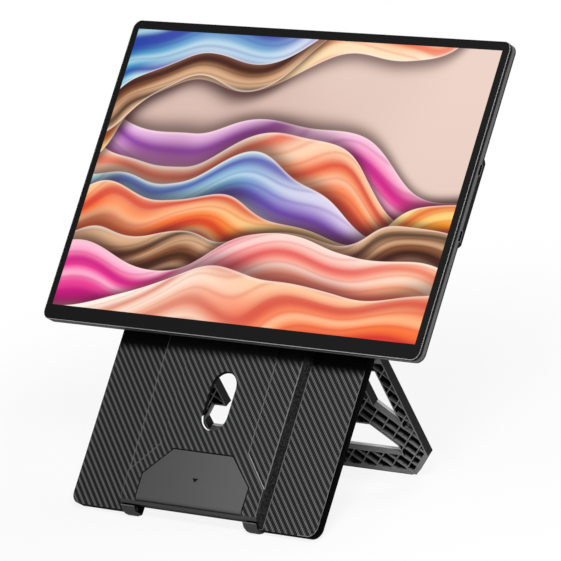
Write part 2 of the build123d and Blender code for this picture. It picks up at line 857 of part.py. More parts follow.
with BuildPart() as channel_cover:
    with BuildSketch(rung(channel_start - channel_run)):
        with BuildLine():
            Polyline(
                (-channel_base / 2, plate_face),
                (-channel_width / 2, channel_face),
                (channel_width / 2, channel_face),
                (channel_base / 2, plate_face),
                close=True,
            )
        make_face()
    extrude(amount=-channel_length - channel_run)
    with BuildSketch(rung(channel_start + channel_wall)):
        with BuildLine():
            Polyline(
                (-channel_base / 2 + channel_wall, plate_face),
                (-channel_base / 2 + channel_wall + side_slope * inner_rise, plate_face + inner_rise),
                (channel_base / 2 - channel_wall - side_slope * inner_rise, plate_face + inner_rise),
                (channel_base / 2 - channel_wall, plate_face),
                close=True,
            )
        make_face()
    extrude(amount=-channel_length + 2 * channel_wall, mode=Mode.SUBTRACT)
    # seat under the ledge, end blocks for its rod, screw bosses
    with BuildSketch(deck(recess_level - ledge_floor)):
        with BuildLine():
            Polyline(*ledge_points(ledge_gap + channel_wall), close=True)
        make_face()
    extrude(amount=plate_face + inner_rise - recess_level + ledge_floor)
    with BuildSketch(deck(plate_face)):
        with Locations(*[(x, channel_start) for x in mirrored((block_outer + barrel_room) / 2)]):
            Rectangle(
                block_outer - barrel_room,
                2 * ledge_barrel + channel_wall,
                align=(Align.CENTER, Align.MIN),
            )
        with Locations(*[(0, pattern_mid + y) for y in mirrored(pattern / 2)]):
            Rectangle(channel_width - channel_wall, 2 * (mount_screw_radius + clear + boss_wall))
        with Locations(*cover_screw_places):
            Rectangle(2 * (screw_radius + boss_wall), 2 * (screw_radius + boss_wall))
    extrude(amount=inner_rise)
    # recess for the ledge and its barrel
    with BuildSketch(deck(recess_level)):
        with BuildLine():
            Polyline(*ledge_points(ledge_gap), close=True)
        make_face()
    extrude(amount=channel_rise, mode=Mode.SUBTRACT)
    with BuildSketch(deck(plate_face)):
        with Locations((0, ledge_axis_raise)):
            Rectangle(2 * barrel_room, 2 * (ledge_barrel + mount_gap))
    extrude(amount=channel_rise, mode=Mode.SUBTRACT)
    # sloped foot, cut off above the shoes and the plate's notch so that a lip stays below the ledge
    with BuildSketch(side(-channel_base / 2)):
        with BuildLine():
            Polyline(
                (channel_start, channel_face),
                (channel_start - channel_run, plate_face),
                (channel_start - channel_run, channel_face),
                close=True,
            )
        make_face()
    extrude(amount=channel_base, mode=Mode.SUBTRACT)
    with BuildSketch(deck(plate_face)):
        Rectangle(2 * (shoe_outer + clear), 2 * (channel_start - channel_lip))
    extrude(amount=channel_rise, mode=Mode.SUBTRACT)
    # stepped side strips, open to the sides and ended by a 45 degree edge
    with BuildSketch(deck(channel_face - strip_step)):
        for way in (-1, 1):
            with BuildLine():
                Polyline(
                    (way * strip_edge, channel_top + strip_width),
                    (way * strip_edge, strip_foot + strip_width),
                    (way * channel_base / 2, strip_foot + strip_width - channel_base / 2 + strip_edge),
                    (way * channel_base / 2, channel_top + strip_width),
                    close=True,
                )
            make_face()
    extrude(amount=2 * strip_step, mode=Mode.SUBTRACT)
    # oval cable hole with a bevelled rim
    with BuildSketch(deck(plate_face)):
        with Locations((0, oval_raise)):
            SlotOverall(oval_height, oval_width, rotation=90)
    extrude(amount=channel_rise, mode=Mode.SUBTRACT)
    with BuildSketch(deck(channel_face)):
        with Locations((0, oval_raise)):
            SlotOverall(oval_height + 2 * oval_bevel, oval_width + 2 * oval_bevel, rotation=90)
    extrude(amount=-oval_bevel, taper=45, mode=Mode.SUBTRACT)
    # holes for the screws and the ledge's rod
    with BuildSketch(deck(plate_face)):
        with Locations(*pattern_places):
            bore(mount_screw_radius + clear)
    extrude(amount=channel_rise, mode=Mode.SUBTRACT)
    with BuildSketch(deck(plate_face)):
        with Locations(*cover_screw_places):
            bore(screw_radius + fit)
    extrude(amount=inner_rise, mode=Mode.SUBTRACT)
    rod_seat = block_outer - 2 * channel_wall
    with BuildSketch(side(-rod_seat)):
        with Locations((ledge_axis_raise, ledge_axis_level)):
            bore(ledge_rod_radius + fit / 2)
    extrude(amount=2 * rod_seat, mode=Mode.SUBTRACT)
finish(channel_cover.part, "channel_cover")

# Stand: fold-out ledge with a moulded barrel along its foot, on a steel rod
with BuildPart() as ledge:
    with BuildSketch(deck(channel_face - ledge_thick)):
        with BuildLine():
            Polyline(*ledge_points(0), close=True)
        make_face()
    extrude(amount=ledge_thick)
    with BuildSketch(side(-ledge_width / 2)):
        with Locations((ledge_axis_raise, ledge_axis_level)):
            Circle(ledge_barrel)
    extrude(amount=ledge_width)
    with BuildSketch(side(-ledge_width / 2)):
        with Locations((ledge_axis_raise, ledge_axis_level)):
            bore(ledge_rod_radius + running)
    extrude(amount=ledge_width, mode=Mode.SUBTRACT)
    # small triangle that points at the hinge
    with BuildSketch(deck(channel_face)):
        with BuildLine():
            Polyline(
                (-mark_width / 2, mark_raise + mark_height / 2),
                (mark_width / 2, mark_raise + mark_height / 2),
                (0, mark_raise - mark_height / 2),
                close=True,
            )
        make_face()
    extrude(amount=-mark_depth, mode=Mode.SUBTRACT)
finish(ledge.part, "ledge")

with BuildPart() as ledge_rod:
    with BuildSketch(side(-rod_seat + clear)):
        with Locations((ledge_axis_raise, ledge_axis_level)):
            Circle(ledge_rod_radius)
    extrude(amount=2 * (rod_seat - clear))
finish(ledge_rod.part, "ledge_rod")

# Stand: rubber shoes that wrap the plate's bottom edge beside the ledge
# Their fronts slope like the channel's foot above them and their soles are cut level with the table.
shoe_nose = plate_face + shoe_front
for way, name in ((1, "shoe_right"), (-1, "shoe_left")):
    with BuildPart() as shoe:
        with BuildSketch(side(way * shoe_inner)):
            with BuildLine():
                Polyline(
                    (0, 0),
                    (0, plate_face),
                    (shoe_top, plate_face),
                    (shoe_top, shoe_nose),
                    (-shoe_drop, shoe_nose - shoe_top - shoe_drop),
                    (-shoe_drop, 0),
                    close=True,
                )
            make_face()
        extrude(amount=way * (shoe_outer - shoe_inner))
        with BuildSketch(Plane.XY):
            Rectangle(2 * plate_width, 2 * plate_height)
        extrude(amount=-plate_height, mode=Mode.SUBTRACT)
        with BuildSketch(deck(0)):
            for x, turn in ((shoe_inner, 1), (shoe_outer, -1)):
                with BuildLine():
                    Polyline(
                        (way * x, -shoe_drop),
                        (way * (x + turn * shoe_corner), -shoe_drop),
                        (way * x, shoe_corner - shoe_drop),
                        close=True,
                    )
                make_face()
        extrude(amount=shoe_nose, mode=Mode.SUBTRACT)
    finish(shoe.part, name)

# Stand: truss leg
# A flat moulded frame with a diamond grid of ribs towards the plate, cut open between its bars.
# Its upper end is bevelled, so that it stops against the plate when it stands open.
leg_down = upward * -cos(radians(open_angle)) - outward * sin(radians(open_angle))
leg_front = outward * cos(radians(open_angle)) - upward * sin(radians(open_angle))
hinge_place = place(0, hinge_raise, hinge_level)
leg_width = plate_width
lug_places = [x + dx for x in mirrored(hinge_spacing / 2) for dx in mirrored(lug_spacing / 2)]


def leg_deck(level):
    """Plane parallel to the open leg: x across, y towards its hinge, z towards the plate"""
    return Plane(origin=hinge_place + leg_front * level, x_dir=(1, 0, 0), z_dir=leg_front)


def leg_side(x):
    """Side view of the open leg: x down the leg, y towards the plate, z to the left"""
    return Plane(origin=hinge_place + Vector(x, 0, 0), x_dir=leg_down, z_dir=leg_down.cross(leg_front))


def leg_outline(rim, flange):
    """Outline of the leg, drawn in by rim at the sides and by flange at the foot"""
    side_edge = leg_width / 2 - rim
    foot = leg_length - flange
    corner_sum = leg_width / 2 + leg_length - leg_corner - flange * sqrt(2)
    return [
        (-side_edge, 0),
        (side_edge, 0),
        (side_edge, side_edge - corner_sum),
        (corner_sum - foot, -foot),
        (foot - corner_sum, -foot),
        (-side_edge, side_edge - corner_sum),
    ]


def leg_openings(shrink):
    """The three openings, each drawn in by shrink, as lists of corners"""
    bar_edge = leg_width / 2 - leg_side_bar - shrink
    window_edge = leg_width / 2 - leg_side_bar - leg_window + shrink
    brace_top = leg_length - leg_window_sill - leg_width / 2 + leg_side_bar - shrink * sqrt(2)
    brace_foot = brace_top + shrink * sqrt(2) + (leg_brace + shrink) * sqrt(2)
    sill = leg_length - leg_foot_bar - shrink
    reach = leg_reach - shrink
    web = leg_length - leg_web_sill + shrink
    middle = leg_middle / 2 - shrink
    right = [
        (window_edge, -leg_rail - shrink),
        (bar_edge, -leg_rail - shrink),
        (bar_edge, -bar_edge - brace_top),
        (window_edge, -window_edge - brace_top),
    ]
    centre = [
        (middle, -leg_rail - shrink),
        (middle, -web),
        (web - brace_foot, -web),
        (reach, -reach - brace_foot),
        (reach, -sill),
    ]
    return [
        right,
        [(-x, y) for x, y in right],
        centre + [(-x, y) for x, y in reversed(centre)],
    ]


with BuildSketch(leg_deck(leg_half)) as leg_cells:
    with BuildLine():
        Polyline(*leg_outline(leg_rim, leg_flange), close=True)
    make_face()
    with Locations((0, 0)):
        Rectangle(2 * leg_width, leg_rail, mode=Mode.SUBTRACT)
    for corners in leg_openings(-leg_rim):
        with BuildLine():
            Polyline(*corners, close=True)
        make_face(mode=Mode.SUBTRACT)
    rib_step = rib_pitch * sqrt(2)
    rib_count = int((leg_width + leg_length) / rib_step)
    for way in (-1, 1):
        rib_places = [
            (way * (rib_start + k * rib_step) / 2, -(rib_start + k * rib_step) / 2)
            for k in range(-rib_count, rib_count + 1)
        ]
        with Locations(*rib_places):
            Rectangle(2 * (leg_width + leg_length), rib_wall, rotation=way * 45, mode=Mode.SUBTRACT)

with BuildPart() as leg_frame:
    with BuildSketch(leg_deck(-leg_half)):
        with BuildLine():
            Polyline(*leg_outline(0, 0), close=True)
        make_face()
    extrude(amount=leg_thick)
    # barrel along the hinge line and the bevelled heel
    with BuildSketch(leg_side(leg_width / 2)):
        RegularPolygon(leg_half, head_sides, major_radius=False, rotation=180 / head_sides)
        with BuildLine():
            heel_reach = leg_gap + leg_half - mount_gap
            heel_angle = radians(open_angle)
            Polyline(
                (0, 0),
                (-heel_reach * sin(heel_angle), heel_reach * cos(heel_angle)),
                (-(heel_reach + leg_half * cos(heel_angle)) / sin(heel_angle), -leg_half),
                (0, -leg_half),
                close=True,
            )
        make_face()
    extrude(amount=leg_width)
    with BuildSketch(leg_deck(-leg_half)):
        for corners in leg_openings(0):
            with BuildLine():
                Polyline(*corners, close=True)
            make_face()
    extrude(amount=leg_thick, mode=Mode.SUBTRACT)
    with BuildSketch(leg_deck(leg_half)):
        add([cell for cell in leg_cells.sketch_local.faces() if cell.area > smallest_cell])
    extrude(amount=cell_floor - leg_thick, mode=Mode.SUBTRACT)
    # notches for the hinge lugs and the bore for the pins
    with BuildSketch(leg_deck(-leg_thick)):
        with Locations(*[(x, -notch_reach) for x in lug_places]):
            Rectangle(lug_wall + 2 * lug_gap, 4 * leg_thick, align=(Align.CENTER, Align.MIN))
    extrude(amount=3 * leg_thick, mode=Mode.SUBTRACT)
    for x in mirrored(hinge_spacing / 2):
        with BuildSketch(leg_side(x + pin_length / 2 + clear)):
            bore(pin_radius + running)
        extrude(amount=pin_length + 2 * clear, mode=Mode.SUBTRACT)
finish(leg_frame.part, "leg_frame")

# Stand: rubber strip under the leg, cut level with the table
with BuildPart() as leg_pad:
    with BuildSketch(leg_side(leg_width / 2 - leg_corner - pad_inset)):
        with Locations((leg_length, 0)):
            Rectangle(leg_thick, leg_thick, align=(Align.MIN, Align.CENTER))
    extrude(amount=leg_width - 2 * leg_corner - 2 * pad_inset)
    with BuildSketch(Plane.XY):
        Rectangle(2 * plate_width, 2 * plate_height)
    extrude(amount=-plate_height, mode=Mode.SUBTRACT)
finish(leg_pad.part, "leg_pad")

# Stand: hinge brackets screwed to the plate's back, each with two lugs and a pin
for x, name in ((hinge_spacing / 2, "right"), (-hinge_spacing / 2, "left")):
    with BuildPart() as bracket:
        with BuildSketch(deck(0)):
            with Locations((x, bracket_mid)):
                Rectangle(bracket_width, bracket_height)
        extrude(amount=-bracket_sheet)
        for dx in mirrored(lug_spacing / 2):
            with BuildSketch(side(x + dx - lug_wall / 2)):
                with BuildLine():
                    Polyline(
                        (hinge_raise, 0),
                        (bracket_low + bracket_height - lug_wall / 4, 0),
                        (bracket_low + bracket_height - lug_wall / 4, -bracket_sheet),
                        (bracket_low + lug_wall, hinge_level - lug_radius),
                        (hinge_raise, hinge_level - lug_radius),
                        close=True,
                    )
                make_face()
                with Locations((hinge_raise, hinge_level)):
                    RegularPolygon(lug_radius, head_sides)
                    bore(pin_radius + fit / 2, mode=Mode.SUBTRACT)
            extrude(amount=lug_wall)
        with BuildSketch(deck(-bracket_sheet)):
            with Locations(*[(x + dx, bracket_mid) for dx in mirrored(bracket_hole_spacing / 2)]):
                bore(screw_radius + fit)
        extrude(amount=bracket_sheet, mode=Mode.SUBTRACT)
    finish(bracket.part, "hinge_bracket_" + name)

    with BuildPart() as hinge_pin:
        with BuildSketch(leg_side(x + pin_length / 2)):
            Circle(pin_radius)
        extrude(amount=pin_length)
    finish(hinge_pin.part, "hinge_pin_" + name)

# Fasteners: bracket screws, channel screws and the screws that carry the display
bracket_screw_length = bracket_sheet + back_skin - fit
cover_screw_length = plate_skin + inner_rise - fit
for places, seat, length, head_radius, head_height, shank, name in (
    (
        bracket_screw_places,
        -bracket_sheet,
        bracket_screw_length,
        screw_head_radius,
        screw_head_height,
        screw_radius,
        "bracket_screws",
    ),
    (
        cover_screw_places,
        back_skin,
        cover_screw_length,
        screw_head_radius,
        screw_head_height,
        screw_radius,
        "channel_screws",
    ),
    (
        pattern_places,
        back_skin,
        mount_screw_length,
        mount_head_radius,
        mount_head_height,
        mount_screw_radius,
        "mount_screws",
    ),
):
    with BuildPart() as screws:
        with BuildSketch(deck(seat)):
            with Locations(*places):
                RegularPolygon(head_radius, head_sides)
                RegularPolygon(shank, 6, mode=Mode.SUBTRACT)
        extrude(amount=-head_height)
        with BuildSketch(deck(seat - head_height / 2)):
            with Locations(*places):
                RegularPolygon(shank, screw_sides)
        extrude(amount=length + head_height / 2)
    finish(screws.part, name)
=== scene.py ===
import json
from math import atan2, cos, pi, radians, sin

import bmesh
import bpy
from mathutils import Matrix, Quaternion, Vector

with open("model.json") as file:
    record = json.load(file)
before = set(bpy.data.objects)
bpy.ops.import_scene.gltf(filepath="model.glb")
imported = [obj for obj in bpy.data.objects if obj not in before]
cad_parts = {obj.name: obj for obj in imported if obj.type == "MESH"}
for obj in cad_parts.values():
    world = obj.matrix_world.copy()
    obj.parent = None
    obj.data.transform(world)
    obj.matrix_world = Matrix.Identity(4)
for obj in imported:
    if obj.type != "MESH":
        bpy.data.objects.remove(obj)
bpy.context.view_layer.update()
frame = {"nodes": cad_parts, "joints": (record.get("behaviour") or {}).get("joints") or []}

# Stand plate, back layer.
# A sheet of black moulded plastic that leans back and carries the hinges on its rear side. It is
# matt with a fine even grain, and its cut edges carry painted shade in black.
MM = 0.001
joints = {joint["name"]: joint for joint in frame["joints"]}
outward = Vector(joints["volume_rock"]["axis"])
lean = atan2(outward.z, -outward.y)
upward = Vector((0, sin(lean), cos(lean)))
hinge = Vector(joints["leg_fold"]["pos_m"])
hinge_raise = 138.7
hinge_level = -3.65
plate_foot = hinge - upward * hinge_raise * MM - outward * hinge_level * MM
plate_turn = pi / 2 - lean


def shade(red, green=None, blue=None):
    """Colour of a screen brightness from 0 to 255, as the shaders take it"""
    levels = (red, red if green is None else green, red if blue is None else blue)
    parts = [level / 255 for level in levels]
    linear = [
        part / 12.92 if part <= 0.04045 else ((part + 0.055) / 1.055) ** 2.4 for part in parts
    ]
    return linear + [1]


class Number:
    """A value that changes over a surface, so that patterns are written as plain sums"""

    def __init__(self, tree, socket):
        self.tree = tree
        self.socket = socket

    def math(self, operation, *others):
        node = self.tree.nodes.new("ShaderNodeMath")
        node.operation = operation
        for socket, value in zip(node.inputs, (self, *others)):
            feed(value, socket)
        return Number(self.tree, node.outputs[0])

    def __add__(self, other):
        return self.math("ADD", other)

    def __sub__(self, other):
        return self.math("SUBTRACT", other)

    def __mul__(self, other):
        return self.math("MULTIPLY", other)

    def __truediv__(self, other):
        return self.math("DIVIDE", other)

    def __mod__(self, other):
        return self.math("FLOORED_MODULO", other)

    def __abs__(self):
        return self.math("ABSOLUTE")

    def above(self, limit):
        return self.math("GREATER_THAN", limit)

    def below(self, limit):
        return self.math("LESS_THAN", limit)

    def between(self, first, second):
        """Number from first, where this is 0, to second, where this is 1"""
        node = self.tree.nodes.new("ShaderNodeMix")
        feed(self, node.inputs[0])
        feed(first, node.inputs[2])
        feed(second, node.inputs[3])
        return Number(self.tree, node.outputs[0])

    def rise(self, start, end):
        """0 up to start, 1 from end on, and a smooth rise between them"""
        node = self.tree.nodes.new("ShaderNodeMapRange")
        node.interpolation_type = "SMOOTHSTEP"
        feed(self, node.inputs["Value"])
        feed(start, node.inputs["From Min"])
        feed(end, node.inputs["From Max"])
        return Number(self.tree, node.outputs["Result"])


def feed(value, socket):
    """Give a socket a plain value, or link it to the number that varies"""
    if isinstance(value, Number):
        value.tree.links.new(value.socket, socket)
    else:
        socket.default_value = value


class Finish:
    """The material of one kind of surface, with the nodes that vary it"""

    def __init__(self, name, colour, roughness, gloss=0.5, metallic=0.0):
        self.material = bpy.data.materials.new(name)
        self.material.use_nodes = True
        self.tree = self.material.node_tree
        self.shader = self.tree.nodes["Principled BSDF"]
        self.put("Base Color", colour)
        self.put("Roughness", roughness)
        self.put("Specular IOR Level", gloss)
        self.put("Metallic", metallic)

    def put(self, socket, value):
        feed(value, self.shader.inputs[socket])

    def spot(self, origin=plate_foot, turn=plate_turn):
        """Place on the piece in millimetres, then its parts across, up and out of its plane"""
        found = self.tree.nodes.new("ShaderNodeTexCoord")
        turned = self.tree.nodes.new("ShaderNodeMapping")
        turned.vector_type = "TEXTURE"
        turned.inputs["Location"].default_value = origin
        turned.inputs["Rotation"].default_value = (turn, 0, 0)
        turned.inputs["Scale"].default_value = (MM, MM, MM)
        self.tree.links.new(found.outputs["Object"], turned.inputs["Vector"])
        split = self.tree.nodes.new("ShaderNodeSeparateXYZ")
        self.tree.links.new(turned.outputs["Vector"], split.inputs["Vector"])
        place = Number(self.tree, turned.outputs["Vector"])
        return place, *[Number(self.tree, output) for output in split.outputs]

    def facing(self, way):
        """How squarely the surface faces that way of the piece, from -1 to 1"""
        found = self.tree.nodes.new("ShaderNodeTexCoord")
        product = self.tree.nodes.new("ShaderNodeVectorMath")
        product.operation = "DOT_PRODUCT"
        self.tree.links.new(found.outputs["Normal"], product.inputs[0])
        product.inputs[1].default_value = way
        return Number(self.tree, product.outputs["Value"])

    def grain(self, place, size, detail=2.0, stretch=(1, 1, 1)):
        """Soft random pattern from 0 to 1, of the given size in millimetres"""
        spread = self.tree.nodes.new("ShaderNodeMapping")
        spread.inputs["Scale"].default_value = [1 / (size * part) for part in stretch]
        feed(place, spread.inputs["Vector"])
        cloud = self.tree.nodes.new("ShaderNodeTexNoise")
        cloud.inputs["Scale"].default_value = 1
        cloud.inputs["Detail"].default_value = detail
        self.tree.links.new(spread.outputs["Vector"], cloud.inputs["Vector"])
        return Number(self.tree, cloud.outputs["Fac"])

    def blend(self, amount, first, second):
        """Colour or number between first and second"""
        mix = self.tree.nodes.new("ShaderNodeMix")
        mix.data_type = "RGBA"
        feed(amount, mix.inputs[0])
        feed(first, mix.inputs[6])
        feed(second, mix.inputs[7])
        return Number(self.tree, mix.outputs[2])

    def bump(self, height, depth):
        """Raise the surface by depth millimetres where height is 1"""
        relief = self.tree.nodes.new("ShaderNodeBump")
        relief.inputs["Strength"].default_value = 1
        relief.inputs["Distance"].default_value = depth * MM
        feed(height, relief.inputs["Height"])
        self.tree.links.new(relief.outputs["Normal"], self.shader.inputs["Normal"])


def dress(finish, *names):
    """Give CAD nodes their finish"""
    for name in names:
        for slot in frame["nodes"][name].material_slots:
            slot.material = finish.material


def moulded(name, dark, light, roughness, grain_size=0.5, gloss=0.2, depth=0.03, edge=None):
    """Moulded plastic with a fine grain and slight clouds; edge is the tone of painted shade on
    its cut edges
    """
    plastic = Finish(name, shade(dark), roughness, gloss)
    place, *_ = plastic.spot()
    fine = plastic.grain(place, grain_size)
    clouds = plastic.grain(place, grain_size * 60)
    tone = plastic.blend(fine * 0.6 + clouds * 0.4, shade(dark), shade(light))
    if edge:
        # Painted shade: the cut edges take a tone of their own, black on the back sheet.
        shaded_edge = abs(plastic.facing(outward)).below(0.5)
        tone = plastic.blend(shaded_edge, tone, shade(edge))
    plastic.put("Base Color", tone)
    plastic.put("Roughness", fine * 0.12 + (roughness - 0.06))
    plastic.bump(fine, depth)
    return plastic


back_sheet = moulded("moulded sheet", 32, 44, 0.8, gloss=0.03, edge=2)
dress(back_sheet, "stand_back")

# Stand plate, front layer.
# A stiff black sheet with a carbon look film: a light and a dark yarn cross two by two. Its edge
# and fold lines are painted highlights, its side walls painted shade, and under the display lies
# a painted shadow.
plate_width = 233.2
plate_height = 262.0
plate_corner = 8.0
plate_face = 6.4
yarn = 1.467
yarn_light = shade(110)
yarn_light_edge = shade(54)
yarn_dark = shade(41)
yarn_dark_edge = shade(16)
edge_highlight_width = 0.4
edge_highlight_start = 100.0
highlight_width = 0.45
fold_highlight_fade = 40.0
channel_foot_half = 67.8
channel_top = 258.6
display_foot = 127.0
shadow_start = display_foot - 12.0
shadow_fade = 8.0
touch = 0.02


def twill(film, across, raise_):
    """Colour and height of the crossing yarns"""
    column = across / yarn
    row = raise_ / yarn
    upright = column.math("FLOOR")
    level_row = row.math("FLOOR")
    over = ((upright + level_row) % 4).below(2)
    along_upright = ((upright + row) % 4 * (pi / 2)).math("SINE").math("MAXIMUM", 0)
    along_level = (((column + level_row) % 4 - 2) * (pi / 2)).math("SINE").math("MAXIMUM", 0)
    round_upright = (column.math("FRACT") * pi).math("SINE")
    round_level = (row.math("FRACT") * pi).math("SINE")
    swell = over.between(along_level * round_level, along_upright * round_upright)
    light = film.blend(swell, yarn_light_edge, yarn_light)
    dark = film.blend(swell, yarn_dark_edge, yarn_dark)
    return film.blend(over, dark, light), swell


def rounded_reach(across, raise_, half_width, half_height, middle, corner):
    """Distance outside a rounded outline, less than nothing inside it"""
    side = abs(across) - (half_width - corner)
    end = abs(raise_ - middle) - (half_height - corner)
    out_side = side.math("MAXIMUM", 0)
    out_end = end.math("MAXIMUM", 0)
    corner_way = (out_side * out_side + out_end * out_end).math("SQRT")
    return corner_way + side.math("MAXIMUM", end).math("MINIMUM", 0) - corner


film = Finish("twill film", shade(60), 0.55, 0.03)
_, across, raise_, level = film.spot()
weave, swell = twill(film, across, raise_)
half_width, half_height = plate_width / 2, plate_height / 2
reach = rounded_reach(across, raise_, half_width, half_height, half_height, plate_corner)
# Painted highlight along the plate's right edge.
weave = film.blend(reach.above(-edge_highlight_width) * across.above(edge_highlight_start), weave, shade(120))
# Painted highlight along the plate's folds beside the channel, fainter to the left.
from_fold = abs(abs(across) - (channel_foot_half + highlight_width / 2))
fold_highlight = from_fold.below(highlight_width / 2) * raise_.below(channel_top)
fold_highlight = fold_highlight * across.rise(-fold_highlight_fade, fold_highlight_fade).between(0.3, 1.0)
weave = film.blend(fold_highlight, weave, shade(108))
# Painted shadow: the film darkens to black just below the display's foot.
weave = film.blend(raise_.rise(shadow_start, shadow_start + shadow_fade), weave, shade(3))
# Painted shade: the plate's side walls are black and rough.
shaded_side_wall = level.below(plate_face - touch)
film.put("Base Color", film.blend(shaded_side_wall, weave, shade(2)))
film.put("Roughness", shaded_side_wall.between(0.55, 0.95))
film.bump(swell, 0.06)
dress(film, "stand_plate")

# Raised channel.
# A moulded cover screwed to the plate, with film on its top and its two stepped side strips and
# a leather grain on the rest. Its edge lines are painted highlights, and it carries painted
# shade in its recess and a painted shadow under the display.
channel_face = 13.5
channel_half = 64.5
strip_edge = 40.8
strip_step = 0.9
strip_foot = 27.5
channel_foot = 6.6
lip_height = 1.4
recess_half = 52.0
recess_top = 49.0
recess_floor = 7.0
oval_middle = 85.5
oval_reach = 24.0
oval_bevel = 0.6
slope_shadow_start = display_foot - 6.0
line_shadow_start = display_foot - 9.0

channel = Finish("channel film", shade(60), 0.55, 0.04)
place, across, raise_, level = channel.spot()
weave, swell = twill(channel, across, raise_)
side_way = abs(across)

# The bare plastic, with painted shade in the recess, painted light and shade on the lip at the
# foot, and painted light and shade on the rim of the oval hole.
grain = channel.grain(place, 1.2, 3.0)
leather = grain.rise(0.35, 0.65)
bare = channel.blend(leather, shade(12), shade(40))
# Painted shade in the recess round the ledge.
shaded_recess = side_way.below(recess_half) * raise_.below(recess_top) * level.above(recess_floor)
bare = channel.blend(shaded_recess, bare, channel.blend(leather, shade(5), shade(24)))
lip_light_and_shade = raise_.below(channel_foot + lip_height) * side_way.below(channel_half + 0.3)
lip_light_and_shade = lip_light_and_shade * level.above(recess_floor + 1)
# Painted light on the lip's face and painted shade on its underside.
bare = channel.blend(lip_light_and_shade, bare, shade(74))
bare = channel.blend(lip_light_and_shade * channel.facing(upward).below(-0.9), bare, shade(3))
# Painted highlight on the oval rim where it faces up and right, painted shade on the rest.
in_oval = abs(raise_ - oval_middle).below(oval_reach) * side_way.below(oval_reach / 2)
lit_rim = channel.facing(upward).above(0.12) * channel.facing((1, 0, 0)).above(0.05)
lit_rim = lit_rim * level.above(channel_face - 2 * oval_bevel)
bare = channel.blend(in_oval, bare, channel.blend(lit_rim, shade(4), shade(235)))

# The film on the top and the strips, with painted highlights along its edges and on its step
# walls.
strip_face = channel_face - strip_step
on_top = level.above(channel_face - touch)
on_strip = level.above(strip_face - touch) * level.below(strip_face + touch)
faced = (on_top + on_strip).math("MINIMUM", 1)
foot_way = side_way + raise_ - (channel_half + strip_foot)
foot_half = highlight_width * 0.7
foot_highlight = abs(foot_way + foot_half).below(foot_half) * side_way.above(strip_edge)
top_highlight = side_way.above(channel_half - highlight_width) * raise_.above(channel_foot)
step_wall_highlight = level.above(strip_face + touch) * level.below(channel_face - touch)
step_wall_highlight = step_wall_highlight * side_way.above(strip_edge - 0.1) * side_way.below(channel_half)
step_wall_highlight = step_wall_highlight * foot_way.above(-0.1)
on_right = across.above(0)
on_slant = side_way.above(strip_edge + 0.1)
colour = channel.blend(faced, bare, weave)
colour = channel.blend(top_highlight * faced, colour, channel.blend(on_right, shade(92), shade(112)))
colour = channel.blend(foot_highlight * faced, colour, channel.blend(on_right, shade(104), shade(70)))
colour = channel.blend(step_wall_highlight, colour, channel.blend(on_slant, shade(108), shade(200)))

# The painted shadow under the display, which starts a little higher on the slopes, and painted
# shade on the left top highlight within it.
side_slope = level.below(strip_face - 0.05)
shadow_edge = side_slope.between(shadow_start, slope_shadow_start)
colour = channel.blend(raise_.rise(shadow_edge, shadow_edge + shadow_fade), colour, shade(3))
shadowed_highlight = top_highlight * faced * across.below(0) * raise_.above(line_shadow_start)
colour = channel.blend(shadowed_highlight, colour, shade(52))
channel.put("Base Color", colour)
channel.put("Roughness", faced.between(0.65, 0.55))
channel.bump(faced.between(grain * 0.6, swell), 0.06)
dress(channel, "channel_cover")

# Fold-out ledge and its rod.
# A flat moulded flap that lies flush in the channel and swings out on a ground steel rod. It is
# satin grey with painted light that makes it a little lighter to the right, a thin band of
# painted shade round its edge, and a small sunk arrow.
ledge_half = 50.5
ledge_end_half = 28.2
ledge_shoulder = 26.8
ledge_end = 47.3
ledge_foot = 7.0
ledge_shade_width = 0.35
ledge_light_fade = (-60.0, 60.0)
mark_depth = 0.3
mark_reach = 8.0
mark_start = 20.0
arrow_point = 25.0
arrow_end = 28.0
arrow_slope = 0.98

flap = Finish("satin grey", shade(84), 0.5, 0.1)
place, across, raise_, level = flap.spot()
fine = flap.grain(place, 0.35)
# Painted light: the flap is a little lighter to the right.
tone = flap.blend(across.rise(*ledge_light_fade), shade(72), shade(86))
tone = flap.blend(fine * 0.12, tone, shade(110))
slant = Vector((ledge_half - ledge_end_half, ledge_end - ledge_shoulder)).normalized()
side_reach = abs(across) * -1 + ledge_half
slant_reach = side_reach * slant.y + (raise_ - ledge_shoulder) * -slant.x
end_reach = raise_ * -1 + ledge_end
inside = side_reach.math("MINIMUM", slant_reach).math("MINIMUM", end_reach)
# Painted shade in a thin band along the flap's edge.
edge_shade = inside.below(ledge_shade_width) * raise_.above(ledge_foot)
tone = flap.blend(edge_shade, tone, shade(4))
sunk = level.below(channel_face - mark_depth / 2) * level.above(channel_face - 2 * mark_depth)
sunk = sunk * abs(across).below(mark_reach) * raise_.above(mark_start)
arrow = (abs(across) - (raise_ - arrow_point) * arrow_slope).below(0)
arrow = arrow * raise_.below(arrow_end) * level.above(recess_floor + 3)
flap.put("Base Color", flap.blend((sunk + arrow).math("MINIMUM", 1), tone, shade(3)))
flap.bump(fine, 0.02)
dress(flap, "ledge")


def ground_steel(name, tint, roughness):
    """Bare steel with the fine marks of turning or grinding"""
    steel = Finish(name, shade(tint), roughness, metallic=1.0)
    place, *_ = steel.spot()
    marks = steel.grain(place, 0.4, 3.0, (0.2, 1, 1))
    steel.put("Base Color", steel.blend(marks, shade(tint - 25), shade(tint + 15)))
    steel.put("Roughness", marks * 0.2 + (roughness - 0.1))
    return steel


rod_steel = ground_steel("ground rod", 190, 0.3)
dress(rod_steel, "ledge_rod", "hinge_pin_right", "hinge_pin_left")

# Rubber shoes and the strip under the leg.
# Soft dull black rubber, moulded round the plate's foot and pressed on the leg's edge. A shoe's
# upper edge carries a painted highlight, and its ends carry painted shade.
shoe_middle = 58.05
shoe_half = 6.45
shoe_top = 3.0
shoe_highlight_width = 0.5

